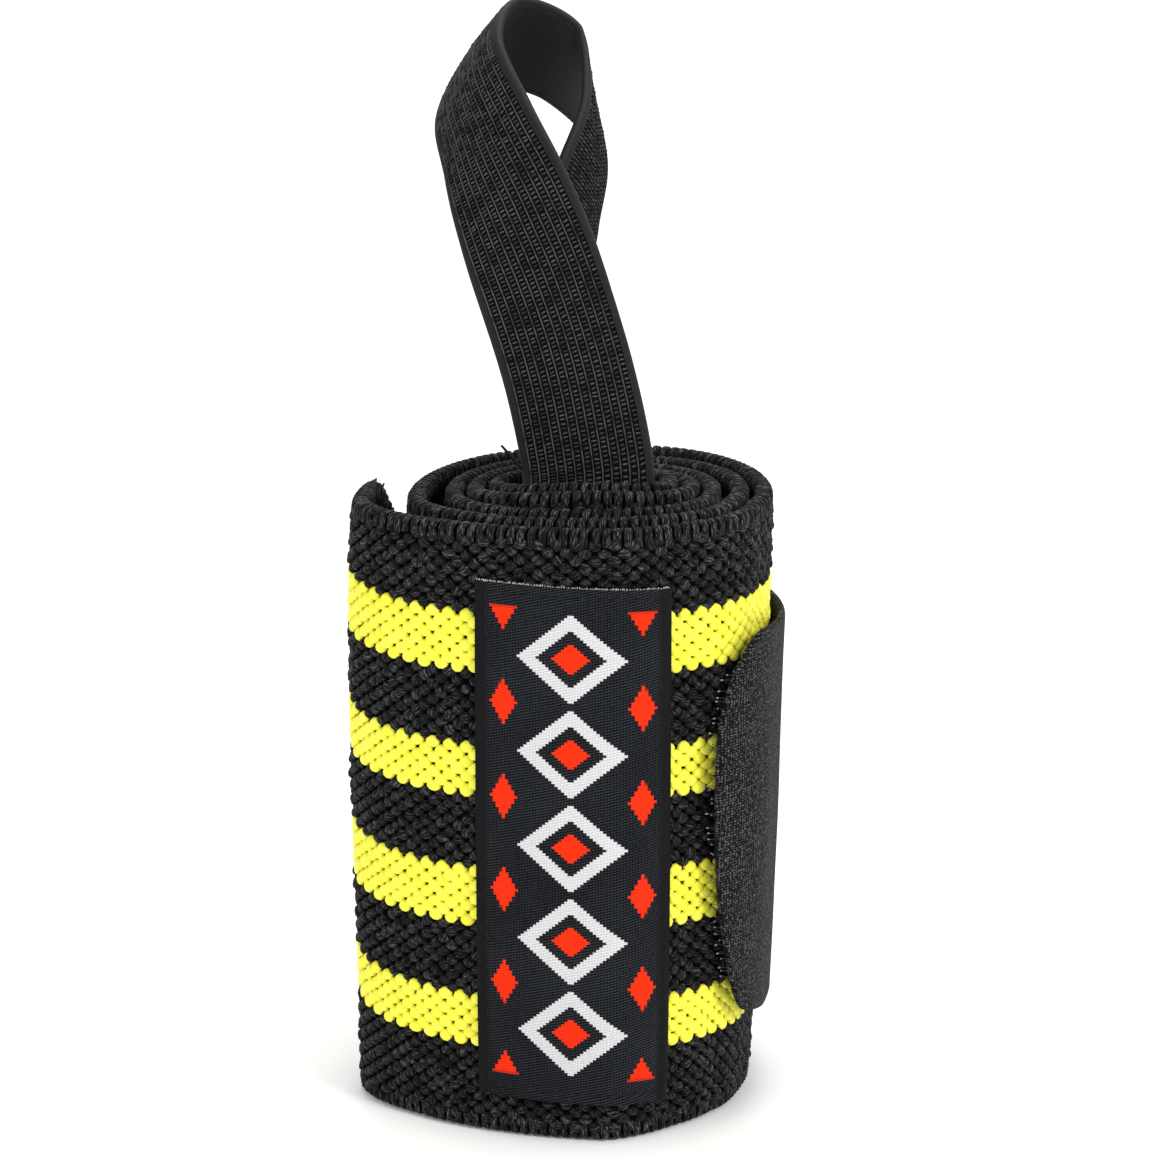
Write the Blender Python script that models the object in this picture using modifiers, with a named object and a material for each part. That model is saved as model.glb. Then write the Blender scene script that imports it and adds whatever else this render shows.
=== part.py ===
"""A rolled wrist wrap that stands on its edge. Metres, +Z up, the label faces -Y."""
import math

import bmesh
import bpy
import numpy as np

# Elastic band
BAND_WIDTH = 0.080
BAND_THICKNESS = 0.0024
BAND_RIM = 0.0006            # rounding of the selvedges
TURN_GAP = 0.0004            # between two turns pulled tight
LOOSENESS = 0.0044           # extra room of the loosest turn
WANDER = 0.010               # how far a turn's widest point strays from the core's centre
TELESCOPE = 0.0032           # how far the innermost turn stands proud
LEAN = 0.0021                # how far the roll's right side leans in at its foot
CORNER_RUN = 0.0094          # cut corners at the outer end, along the band
CORNER_RISE = 0.0085         # and across it
TAIL_SHARE = 0.33            # of the last quarter turn, up to the outer end
HEAD_SHARE = 0.50            # of the first quarter turn that is left away

# Thumb loop
LOOP_WIDTH = 0.0170
LOOP_THICKNESS = 0.0013
LOOP_RIM = 0.0003
LOOP_ROOT = 0.020            # length of each leg below the roll's top
LOOP_RISE = 0.0555           # height of the ribbon's middle above the roll's top
LOOP_SWAY = 0.016            # how far the loop leans to the left
LOOP_DEPTH = 0.035           # and back
LOOP_CUP = 0.40              # half the angle that the legs curl across their width, radians

# Hook tab
TAB_WIDTH = 0.0505
TAB_THICKNESS = 0.0010
TAB_FOOT = 0.0145            # height of its lower edge
TAB_OVERLAP = 0.012          # sewn on to the band's outer end
TAB_STANDOFF = 0.0022        # of its free end
TAB_TOP_RUN = 0.008
TAB_TOP_RISE = 0.016
TAB_FOOT_RUN = 0.0065
TAB_FOOT_RISE = 0.030
TAB_REACH = 0.62             # share of the front right quarter turn that the free end covers

# Label
LABEL_WIDTH = 0.0234
LABEL_HEIGHT = 0.0674
LABEL_THICKNESS = 0.0006
LABEL_FOOT = 0.0054
LABEL_OFFSET = 0.0022        # its middle, left of the core's centre

SEAM_GAP = 0.0003            # between pieces that touch
CORE_BACKWARD = -0.01035     # core's centre, seen from the roll's axis
CORE_SIDEWAYS = 0.0004
CORE_FRONT_ROOM = 0.0015     # play in front of the loop's legs
CORE_RIGHT_ROOM = 0.0006
CORE_BACK_ROOM = 0.0008
CORE_LEFT_ROOM = 0.00185
STATION = 0.0016             # spacing of the sections along the band

# A row for each quarter turn, from the core outwards. Slack is a share of LOOSENESS, along of
# WANDER, lift of TELESCOPE and lean of LEAN; square is the exponent of the quarter that ends
# in this row, with 2 for an ellipse.
TURNS = [
    # side, slack, along, square, lift, lean
    ("left", 0.00, 0.31, 2.0, 0.90, 0.0),
    ("back", 0.00, 0.45, 2.0, 0.90, 0.0),
    ("right", 0.00, 0.22, 2.8, 0.80, 0.8),
    ("front", 0.00, -0.05, 2.8, 1.00, 0.0),
    ("left", 0.00, 0.28, 2.6, 0.60, 0.0),
    ("back", 1.00, 0.00, 2.1, 0.50, 0.0),
    ("right", 0.00, 0.33, 2.2, 0.55, 0.9),
    ("front", 0.00, 0.00, 2.3, 0.85, 0.0),
    ("left", 0.00, 0.33, 2.4, 0.40, 0.0),
    ("back", 0.95, 0.00, 2.1, 0.25, 0.0),
    ("right", 0.00, 0.43, 2.2, 0.35, 1.0),
    ("front", 0.00, 0.05, 2.1, 0.30, 0.0),
    ("left", 0.00, 0.38, 2.2, 0.25, 0.0),
    ("back", 0.80, 0.20, 2.1, 0.10, 0.0),
    ("right", 0.20, 0.58, 2.2, 0.20, 1.0),
    ("front", 0.00, 0.15, 1.9, 0.15, 0.0),
    ("left", 0.47, 0.28, 2.0, 0.05, 0.0),
    ("back", 1.15, 0.36, 2.15, 0.00, 0.0),
    ("right", 0.08, 0.73, 2.2, 0.00, 1.0),
    ("front", 0.25, 0.25, 1.75, 0.00, -0.3),
    ("left", 0.93, 0.18, 1.85, 0.00, 0.0),
    ("back", 0.02, 0.30, 2.0, 0.00, 0.0),
]
TAIL_TURN = 20               # rows of TURNS where the tail, the tab and the label begin
TAB_TURN = 16
RIGHT_TURN = 18
SAMPLES = 48                 # points in a quarter turn before they are spaced out

# A row for each place along the thumb loop. Side is a share of LOOP_SWAY, back of LOOP_DEPTH
# and rise of LOOP_RISE; the next three point along the ribbon's width, and cup is a share of
# LOOP_CUP.
LOOP = [
    # side, back, rise, across_x, across_y, across_z, cup
    (-0.01, 0.02, 0.09, 0.99, 0.00, 0.09, 1.00),
    (-0.14, 0.07, 0.28, 0.97, 0.14, 0.19, 1.00),
    (-0.34, 0.15, 0.46, 0.94, 0.13, 0.31, 0.95),
    (-0.59, 0.27, 0.63, 0.86, -0.14, 0.49, 0.85),
    (-0.84, 0.43, 0.785, 0.66, -0.40, 0.63, 0.70),
    (-1.00, 0.66, 0.915, 0.50, -0.49, 0.72, 0.45),
    (-0.79, 0.92, 0.985, 0.44, -0.53, 0.72, 0.25),
    (-0.22, 0.99, 0.93, 0.28, -0.71, 0.65, 0.25),
    (0.07, 0.84, 0.79, -0.13, -0.82, 0.56, 0.35),
    (-0.05, 0.67, 0.62, -0.30, -0.77, 0.56, 0.55),
    (-0.16, 0.50, 0.46, -0.36, -0.76, 0.54, 0.75),
    (-0.10, 0.31, 0.30, -0.58, -0.69, 0.43, 0.90),
    (0.00, 0.14, 0.17, -0.84, -0.40, 0.20, 1.00),
    (0.00, 0.055, 0.085, -0.97, -0.14, 0.05, 1.00),
]
LOOP_ROOT_ROWS = (0.0, 0.4, 0.75, 1.0)   # shares of LOOP_ROOT
LOOP_STATIONS = 84
LOOP_COLUMNS = 8


def loop_sagitta():
    """How far the loop's edges lie behind its middle where the legs are curled."""
    return LOOP_WIDTH / 2 / LOOP_CUP * (1 - math.cos(LOOP_CUP))


def turn_reaches():
    """Outer faces of the quarter turns, seen from the core's centre."""
    stack = SEAM_GAP / 2 + LOOP_THICKNESS
    reaches = []
    newest = {
        "left": LOOP_WIDTH / 2 + CORE_LEFT_ROOM + BAND_THICKNESS,
        "right": LOOP_WIDTH / 2 + CORE_RIGHT_ROOM + BAND_THICKNESS,
        "front": stack + CORE_FRONT_ROOM + BAND_THICKNESS,
        "back": stack + loop_sagitta() + CORE_BACK_ROOM + BAND_THICKNESS,
    }
    for number, (side, slack, *_) in enumerate(TURNS):
        if number > 4:
            newest[side] += BAND_THICKNESS + TURN_GAP + slack * LOOSENESS
        if number == len(TURNS) - 1:
            newest[side] += TAB_THICKNESS + SEAM_GAP
        reaches.append(newest[side])
    return reaches


def turn_points():
    """The widest point of each quarter turn on the band's middle line."""
    points = []
    for (side, _, along, *_), reach in zip(TURNS, turn_reaches()):
        middle = reach - BAND_THICKNESS / 2
        if side in ("left", "right"):
            sideways = middle if side == "right" else -middle
            points.append((sideways, along * WANDER))
        else:
            backward = middle if side == "back" else -middle
            points.append((along * WANDER, backward))
    return points


def quarter(start, end, side, square, share):
    """A point on the quarter turn that leaves start and ends in end on the given side."""
    angle = share * math.pi / 2
    rising = math.sin(angle) ** (2 / square)
    falling = math.cos(angle) ** (2 / square)
    if side in ("front", "back"):
        return (end[0] + (start[0] - end[0]) * falling, start[1] + (end[1] - start[1]) * rising)
    return (start[0] + (end[0] - start[0]) * rising, end[1] + (start[1] - end[1]) * falling)


def push_clear(line, turns):
    """Moves a later turn outwards where it comes too near to the turn inside it."""
    clearance = BAND_THICKNESS + SEAM_GAP
    for number in range(len(line)):
        inside = line[turns < turns[number] - 2.2]
        if len(inside) == 0:
            continue
        offsets = line[number] - inside
        distances = np.hypot(offsets[:, 0], offsets[:, 1])
        nearest = distances.argmin()
        if distances[nearest] < clearance:
            line[number] = inside[nearest] + offsets[nearest] * clearance / distances[nearest]


def smoothed(line):
    """The line with each inner point moved towards its neighbours."""
    softer = line.copy()
    softer[1:-1] = (line[:-2] + 2 * line[1:-1] + line[2:]) / 4
    return softer


def roll_line():
    """The band's middle line seen from above, as length, place, turn, lift and lean."""
    points = turn_points()
    places = []
    turns = []
    for number in range(1, len(TURNS)):
        side, _, _, square, _, _ = TURNS[number]
        first = HEAD_SHARE if number == 1 else 0
        last = TAIL_SHARE if number == len(TURNS) - 1 else 1
        for share in np.linspace(first, last, SAMPLES, endpoint=number == len(TURNS) - 1):
            places.append(quarter(points[number - 1], points[number], side, square, share))
            turns.append(number - 1 + share)
    places = np.array(places)
    turns = np.array(turns)
    for _ in range(6):
        push_clear(places, turns)
        places = smoothed(places)
    push_clear(places, turns)
    places += (CORE_SIDEWAYS, CORE_BACKWARD)
    steps = np.hypot(*np.diff(places, axis=0).T)
    length = np.concatenate(([0], np.cumsum(steps)))
    rows = np.arange(len(TURNS))
    lift = TELESCOPE * np.interp(turns, rows, [row[4] for row in TURNS])
    lean = LEAN * np.interp(turns, rows, [row[5] for row in TURNS])
    return {"length": length, "place": places, "turn": turns, "lift": lift, "lean": lean}


def along(line, length):
    """Place, outward direction, lift and lean of the band's middle line at a length."""
    def column(values):
        return np.interp(length, line["length"], values)

    probe = STATION / 2
    nearby = [np.array([np.interp(at, line["length"], line["place"][:, axis]) for axis in (0, 1)])
              for at in (max(length - probe, 0), min(length + probe, line["length"][-1]))]
    heading = nearby[1] - nearby[0]
    heading /= np.hypot(*heading)
    outward = np.array((-heading[1], heading[0]))
    place = np.array((column(line["place"][:, 0]), column(line["place"][:, 1])))
    return place, outward, column(line["lift"]), column(line["lean"])


def length_at(line, turn):
    """Length of the band's middle line up to a place in TURNS."""
    return float(np.interp(turn, line["turn"], line["length"]))


def on_band(line, length, height, outside):
    """A point that lies a distance outside the band's middle, at a height on it."""
    place, outward, lift, lean = along(line, length)
    foot_share = 1 - height / BAND_WIDTH
    x, y = place + outward * (outside - lean * foot_share)
    return (x, y, height + lift)


def ribbon(name, collection, stations, columns, place):
    """An open strip whose vertices place(u, v) sets, with u along it and v across."""
    shape = bmesh.new()
    bmesh.ops.create_grid(shape, x_segments=stations, y_segments=columns, size=0.5)
    for vertex in shape.verts:
        vertex.co = place(vertex.co.x + 0.5, vertex.co.y + 0.5)
    bmesh.ops.recalc_face_normals(shape, faces=shape.faces)
    mesh = bpy.data.meshes.new(name)
    shape.to_mesh(mesh)
    shape.free()
    piece = bpy.data.objects.new(name, mesh)
    collection.objects.link(piece)
    return piece


def thicken(piece, thickness, rim=0.0):
    """Gives a strip its thickness, half to each side, and rounds its rims."""
    solid = piece.modifiers.new("thickness", "SOLIDIFY")
    solid.thickness = thickness
    solid.offset = 0
    solid.use_even_offset = True
    if rim:
        edge = piece.modifiers.new("rim", "BEVEL")
        edge.width = min(rim, thickness * 0.3)
        edge.segments = 1
        edge.limit_method = "ANGLE"
        edge.angle_limit = math.radians(60)


def paint(piece, colour, roughness):
    """A plain fabric finish."""
    finish = bpy.data.materials.new(piece.name)
    finish.use_nodes = True
    shader = finish.node_tree.nodes["Principled BSDF"]
    shader.inputs["Base Color"].default_value = (*colour, 1)
    shader.inputs["Roughness"].default_value = roughness
    shader.inputs["Metallic"].default_value = 0
    piece.data.materials.append(finish)


def eased(share):
    """A smooth rise from 0 to 1."""
    share = min(max(share, 0), 1)
    return share * share * (3 - 2 * share)


def make_band(line, collection):
    """The rolled band, with the cut corners of its outer end."""
    full = line["length"][-1]

    def place(u, v):
        length = u * full
        cut = CORNER_RISE * max(0, 1 - (full - length) / CORNER_RUN) ** 1.5
        return on_band(line, length, cut + v * (BAND_WIDTH - 2 * cut), 0)

    band = ribbon("band", collection, round(full / STATION), 2, place)
    thicken(band, BAND_THICKNESS, BAND_RIM)
    paint(band, (0.012, 0.012, 0.013), 0.85)
    return band


def tab_line(line):
    """Lengths along the band and distances outside its middle that the hook tab follows."""
    tail = line["place"][line["turn"] > TAIL_TURN]
    seat = (BAND_THICKNESS + TAB_THICKNESS) / 2 + SEAM_GAP
    settle = length_at(line, TAB_TURN + 0.9)
    right = length_at(line, RIGHT_TURN)
    finish = length_at(line, RIGHT_TURN + TAB_REACH)
    lengths = np.arange(length_at(line, TAB_TURN), finish, STATION)
    places = [along(line, length)[0] for length in lengths]
    leave = lengths[np.array([math.dist(place, tail[-1]) for place in places]).argmin()]

    def under_tail(length):
        place = along(line, length)[0]
        return np.hypot(*(tail - place).T).min() - seat

    at_leave = under_tail(leave)
    lengths = lengths[lengths >= leave - TAB_OVERLAP]
    outside = []
    for length in lengths:
        if length <= leave:
            distance = under_tail(length)
        else:
            settled = eased((length - leave) / (settle - leave))
            distance = at_leave + (seat - at_leave) * settled
        at_side = eased((length - settle) / (right - settle))
        at_end = max(0, (length - right) / (finish - right))
        outside.append(distance + TAB_STANDOFF * (0.34 * at_side + 0.66 * at_end ** 1.5))
    return lengths, np.array(outside)


def make_tab(line, collection):
    """The hook tab, from the band's outer end round the back to its free end."""
    lengths, outside = tab_line(line)
    first, last = lengths[0], lengths[-1]

    def quarter_drop(distance, run, rise):
        inward = max(0, 1 - distance / run)
        return rise * (1 - math.sqrt(1 - inward * inward))

    def place(u, v):
        length = first + u * (last - first)
        distance = last - length
        foot = TAB_FOOT + quarter_drop(distance, TAB_FOOT_RUN, TAB_FOOT_RISE)
        top = TAB_FOOT + TAB_WIDTH - quarter_drop(distance, TAB_TOP_RUN, TAB_TOP_RISE)
        away = float(np.interp(length, lengths, outside))
        return on_band(line, length, foot + v * (top - foot), away)

    def spread(u, v):
        return place(1 - (1 - u) ** 1.6, v)

    tab = ribbon("hook_tab", collection, 64, 4, spread)
    thicken(tab, TAB_THICKNESS)
    paint(tab, (0.055, 0.055, 0.060), 0.9)
    return tab


def make_label(line, collection):
    """The woven label on the front of the outer turn."""
    on_front = (line["turn"] > RIGHT_TURN) & (line["turn"] < TAIL_TURN)
    sideways = np.abs(line["place"][on_front, 0] - CORE_SIDEWAYS + LABEL_OFFSET)
    middle = line["length"][on_front][sideways.argmin()]
    outside = BAND_THICKNESS / 2 + SEAM_GAP + LABEL_THICKNESS / 2

    def place(u, v):
        length = middle + (u - 0.5) * LABEL_WIDTH
        return on_band(line, length, LABEL_FOOT + v * LABEL_HEIGHT, outside)

    label = ribbon("label", collection, 16, 1, place)
    thicken(label, LABEL_THICKNESS)
    paint(label, (0.010, 0.011, 0.016), 0.6)
    return label


def loop_rows():
    """Rows of the thumb loop in metres: its middle, the way across it and its cup."""
    leg = (SEAM_GAP + LOOP_THICKNESS) / 2
    front = CORE_BACKWARD - leg
    back = CORE_BACKWARD + leg
    heights = [BAND_WIDTH - share * LOOP_ROOT for share in LOOP_ROOT_ROWS]
    rows = [(CORE_SIDEWAYS, front, height, 1, 0, 0, LOOP_CUP) for height in reversed(heights)]
    for side, backward, rise, *across, cup in LOOP:
        rows.append((CORE_SIDEWAYS + side * LOOP_SWAY, front + backward * LOOP_DEPTH,
                     BAND_WIDTH + rise * LOOP_RISE, *across, cup * LOOP_CUP))
    rows += [(CORE_SIDEWAYS, back, height, -1, 0, 0, LOOP_CUP) for height in heights]
    return np.array(rows)


def smooth_row(rows, at):
    """A row between two rows, on a smooth curve through all of them."""
    number = min(int(at), len(rows) - 2)
    share = at - number
    before, start, end, after = (rows[min(max(number + step, 0), len(rows) - 1)]
                                 for step in (-1, 0, 1, 2))
    return 0.5 * (2 * start + (end - before) * share
                  + (2 * before - 5 * start + 4 * end - after) * share ** 2
                  + (3 * start - before - 3 * end + after) * share ** 3)


def make_loop(collection):
    """The thumb loop: one ribbon whose two legs go down side by side into the core."""
    rows = loop_rows()
    reach = len(rows) - 1
    fine = np.linspace(0, reach, 12 * reach)
    middles = np.array([smooth_row(rows, at)[:3] for at in fine])
    length = np.concatenate(([0], np.cumsum(np.linalg.norm(np.diff(middles, axis=0), axis=1))))

    def place(u, v):
        at = float(np.interp(u * length[-1], length, fine))
        row = smooth_row(rows, at)
        heading = smooth_row(rows, min(at + 0.02, reach)) - smooth_row(rows, max(at - 0.02, 0))
        heading = heading[:3] / np.linalg.norm(heading[:3])
        across = row[3:6] - heading * np.dot(row[3:6], heading)
        across /= np.linalg.norm(across)
        outward = np.cross(across, heading)
        radius = LOOP_WIDTH / 2 / row[6]
        angle = row[6] * (2 * v - 1)
        return row[:3] + radius * (across * math.sin(angle) + outward * (math.cos(angle) - 1))

    loop = ribbon("thumb_loop", collection, LOOP_STATIONS, LOOP_COLUMNS, place)
    thicken(loop, LOOP_THICKNESS, LOOP_RIM)
    paint(loop, (0.016, 0.016, 0.018), 0.8)
    return loop


def stand_on_origin(pieces):
    """Moves the pieces so that the origin is at the middle of their box's foot."""
    bpy.context.view_layer.update()
    depsgraph = bpy.context.evaluated_depsgraph_get()
    corners = []
    for piece in pieces:
        mesh = piece.evaluated_get(depsgraph).data
        flat = np.empty(len(mesh.vertices) * 3)
        mesh.vertices.foreach_get("co", flat)
        corners.append(flat.reshape(-1, 3))
    corners = np.concatenate(corners)
    low, high = corners.min(axis=0), corners.max(axis=0)
    for piece in pieces:
        piece.location = (-(low[0] + high[0]) / 2, -(low[1] + high[1]) / 2, -low[2])


def main():
    for old in list(bpy.data.objects):
        bpy.data.objects.remove(old, do_unlink=True)
    collection = bpy.data.collections.new("wrist_wrap")
    bpy.context.scene.collection.children.link(collection)
    line = roll_line()
    pieces = [make_band(line, collection), make_loop(collection), make_tab(line, collection),
              make_label(line, collection)]
    stand_on_origin(pieces)


main()
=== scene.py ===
import math

import bpy
import numpy as np
from mathutils import Euler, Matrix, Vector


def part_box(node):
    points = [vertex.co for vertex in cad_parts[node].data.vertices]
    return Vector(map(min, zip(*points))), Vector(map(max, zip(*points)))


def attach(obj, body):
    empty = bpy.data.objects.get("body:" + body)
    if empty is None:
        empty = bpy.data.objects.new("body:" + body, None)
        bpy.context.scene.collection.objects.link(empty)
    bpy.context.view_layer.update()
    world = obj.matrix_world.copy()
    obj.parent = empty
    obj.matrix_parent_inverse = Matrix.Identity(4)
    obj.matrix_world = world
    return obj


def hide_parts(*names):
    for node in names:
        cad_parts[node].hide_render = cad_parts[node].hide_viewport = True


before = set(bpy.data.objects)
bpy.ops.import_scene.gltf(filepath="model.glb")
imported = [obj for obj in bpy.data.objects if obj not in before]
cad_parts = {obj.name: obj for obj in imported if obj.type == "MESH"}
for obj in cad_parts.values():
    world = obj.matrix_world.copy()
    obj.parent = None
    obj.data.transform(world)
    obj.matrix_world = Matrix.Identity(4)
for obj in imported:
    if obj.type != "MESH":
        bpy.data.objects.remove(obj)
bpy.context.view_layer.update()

# Sizes of the solids, in metres, as the wrap's construction has them
BAND_WIDTH = 0.080
BAND_THICKNESS = 0.0024
TURN_GAP = 0.0004
LOOSENESS = 0.0044
WANDER = 0.010
TELESCOPE = 0.0032
LEAN = 0.0021
CORNER_RUN = 0.0092
CORNER_RISE = 0.0085
TAIL_SHARE = 0.33
HEAD_SHARE = 0.50
LOOP_WIDTH = 0.0170
LOOP_THICKNESS = 0.0013
LOOP_ROOT = 0.020
LOOP_RISE = 0.0555
LOOP_SWAY = 0.016
LOOP_DEPTH = 0.035
LOOP_CUP = 0.40
TAB_WIDTH = 0.0505
TAB_THICKNESS = 0.0010
TAB_FOOT = 0.0145
TAB_OVERLAP = 0.012
TAB_STANDOFF = 0.0022
TAB_TOP_RUN = 0.008
TAB_TOP_RISE = 0.016
TAB_FOOT_RUN = 0.0065
TAB_FOOT_RISE = 0.030
TAB_REACH = 0.62
LABEL_WIDTH = 0.0234
LABEL_HEIGHT = 0.0674
LABEL_THICKNESS = 0.0006
LABEL_FOOT = 0.0054
LABEL_OFFSET = 0.0022
LABEL_TOP = LABEL_FOOT + LABEL_HEIGHT
LABEL_SKEW = 0.04            # rise of its left side, for each metre sideways
SEAM_GAP = 0.0003
CORE_BACKWARD = -0.01035
CORE_SIDEWAYS = 0.0004
CORE_FRONT_ROOM = 0.0015
CORE_RIGHT_ROOM = 0.0006
CORE_BACK_ROOM = 0.0008
CORE_LEFT_ROOM = 0.00185
STATION = 0.0016

# A row for each quarter turn: side, slack, along, square, lift, lean
TURNS = [
    ("left", 0.00, 0.31, 2.0, 0.90, 0.0),
    ("back", 0.00, 0.45, 2.0, 0.90, 0.0),
    ("right", 0.00, 0.22, 2.8, 0.80, 0.8),
    ("front", 0.00, -0.05, 2.8, 1.00, 0.0),
    ("left", 0.00, 0.28, 2.6, 0.60, 0.0),
    ("back", 1.00, 0.00, 2.1, 0.50, 0.0),
    ("right", 0.00, 0.33, 2.2, 0.55, 0.9),
    ("front", 0.00, 0.00, 2.3, 0.85, 0.0),
    ("left", 0.00, 0.33, 2.4, 0.40, 0.0),
    ("back", 0.95, 0.00, 2.1, 0.25, 0.0),
    ("right", 0.00, 0.43, 2.2, 0.35, 1.0),
    ("front", 0.00, 0.05, 2.1, 0.30, 0.0),
    ("left", 0.00, 0.38, 2.2, 0.25, 0.0),
    ("back", 0.80, 0.20, 2.1, 0.10, 0.0),
    ("right", 0.20, 0.58, 2.2, 0.20, 1.0),
    ("front", 0.00, 0.15, 1.9, 0.15, 0.0),
    ("left", 0.47, 0.28, 2.0, 0.05, 0.0),
    ("back", 1.15, 0.36, 2.15, 0.00, 0.0),
    ("right", 0.08, 0.73, 2.2, 0.00, 1.0),
    ("front", 0.25, 0.25, 1.75, 0.00, -0.3),
    ("left", 0.93, 0.18, 1.85, 0.00, 0.0),
    ("back", 0.02, 0.30, 2.0, 0.00, 0.0),
]
TAIL_TURN = 20
TAB_TURN = 16
RIGHT_TURN = 18
TURN_INSIDE = 2.2            # quarter turns back to what lies inside a point
SAMPLES = 48                 # of each quarter turn

# A row for each place along the thumb loop: side, back, rise, across in x, y and z, cup
LOOP = [
    (-0.01, 0.02, 0.09, 0.99, 0.00, 0.09, 1.00),
    (-0.14, 0.07, 0.28, 0.97, 0.14, 0.19, 1.00),
    (-0.34, 0.15, 0.46, 0.94, 0.13, 0.31, 0.95),
    (-0.59, 0.27, 0.63, 0.86, -0.14, 0.49, 0.85),
    (-0.84, 0.43, 0.785, 0.66, -0.40, 0.63, 0.70),
    (-1.00, 0.66, 0.915, 0.50, -0.49, 0.72, 0.45),
    (-0.79, 0.92, 0.985, 0.44, -0.53, 0.72, 0.25),
    (-0.22, 0.99, 0.93, 0.28, -0.71, 0.65, 0.25),
    (0.07, 0.84, 0.79, -0.13, -0.82, 0.56, 0.35),
    (-0.05, 0.67, 0.62, -0.30, -0.77, 0.56, 0.55),
    (-0.16, 0.50, 0.46, -0.36, -0.76, 0.54, 0.75),
    (-0.10, 0.31, 0.30, -0.58, -0.69, 0.43, 0.90),
    (0.00, 0.14, 0.17, -0.84, -0.40, 0.20, 1.00),
    (0.00, 0.055, 0.085, -0.97, -0.14, 0.05, 1.00),
]
LOOP_ROOT_ROWS = (0.0, 0.4, 0.75, 1.0)
ROW_SAMPLES = 24             # from one row to the next
FAR_ROW = 11                 # of all rows, where the loop's far side begins

# Soft shape of the band at places in TURNS, in metres: a row has the turn, how far its
# upper middle stands out, and how far its foot is tucked in
SHAPES = [
    (17.0, 0.0, 0.0),
    (17.8, 0.0, 0.0003),
    (18.2, 0.0, 0.0009),
    (18.5, 0.0, 0.0019),
    (18.75, 0.0, 0.0008),
    (19.0, 0.0, 0.0),
    (19.3, 0.0002, 0.0008),
    (19.6, 0.0004, 0.0014),
    (20.0, 0.00075, 0.0001),
    (21.33, 0.0005, 0.0),
]

# Knit of the band
STRIPE_WIDTH = 0.0071
STRIPE_PITCH = 0.0167
STRIPE_COUNT = 4
STRIPE_MIDDLE = 0.0400
FIRST_STRIPE = STRIPE_MIDDLE - STRIPE_PITCH * (STRIPE_COUNT - 1) / 2
STRIPE_LIFT = 0.0023         # of the knit at the left side, next to the outer end
WALE = 0.00115               # from one column of stitches to the next
COURSE = 0.0019              # from one stitch to the next in a column
PUFF_RISE = 0.00062          # of a stitch above the ground
PUFF_ROOT = 0.00012          # of a stitch inside the ground
PUFF_TILT = 0.00010          # from its middle to its upper end
GROUND_OUT = 0.00072         # faces of the ground, seen from the band's middle
GROUND_IN = 0.00105
SELVEDGE = 0.0021
RIB_PITCH = 0.00130
RIM_STITCHES = 0.0075        # depth of the inner turns' stitches below the top
LABEL_COVER = 0.0008         # inset of the stitches that the label hides
TAB_COVER = (0.002, 0.012, 0.004, 0.006)  # the same of the tab: at its start, free end, foot and top

# Thumb loop's webbing
LOOP_SELVEDGE = 0.00115
LOOP_COLUMNS = 13
RUNG_PITCH = 0.00057

# Camera, fitted to the rims of the roll
CAMERA_BACK = 0.550
CAMERA_HEIGHT = 0.202
CAMERA_PITCH = math.radians(13.87)
PHOTO_SIZE = 1170
FOCAL_PIXELS = 4351
SENSOR = 36.0

chance = np.random.default_rng(12)


def operator(kind, mirrored=False):
    """A method for Term that adds a Math node of this kind."""

    def method(self, *others):
        values = (*others, self) if mirrored else (self, *others)
        return self.finish.node("ShaderNodeMath", {"operation": kind}, dict(enumerate(values)))

    return method


class Term:
    """A value that varies over a surface, as a socket that takes part in sums."""

    def __init__(self, finish, socket):
        self.finish = finish
        self.socket = socket

    __add__ = operator("ADD")
    __radd__ = operator("ADD", mirrored=True)
    __sub__ = operator("SUBTRACT")
    __rsub__ = operator("SUBTRACT", mirrored=True)
    __mul__ = operator("MULTIPLY")
    __rmul__ = operator("MULTIPLY", mirrored=True)
    __truediv__ = operator("DIVIDE")
    __mod__ = operator("FLOORED_MODULO")
    __pow__ = operator("POWER")
    __abs__ = operator("ABSOLUTE")
    sine = operator("SINE")
    or_more = operator("MAXIMUM")
    or_less = operator("MINIMUM")

    def clamped(self):
        return self.or_more(0).or_less(1)

    def ramp(self, start, span):
        """A rise from 0 to 1 over a span."""
        return ((self - start) / span).clamped()

    def wave(self, pitch):
        return (self * (2 * math.pi / pitch)).sine()


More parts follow.
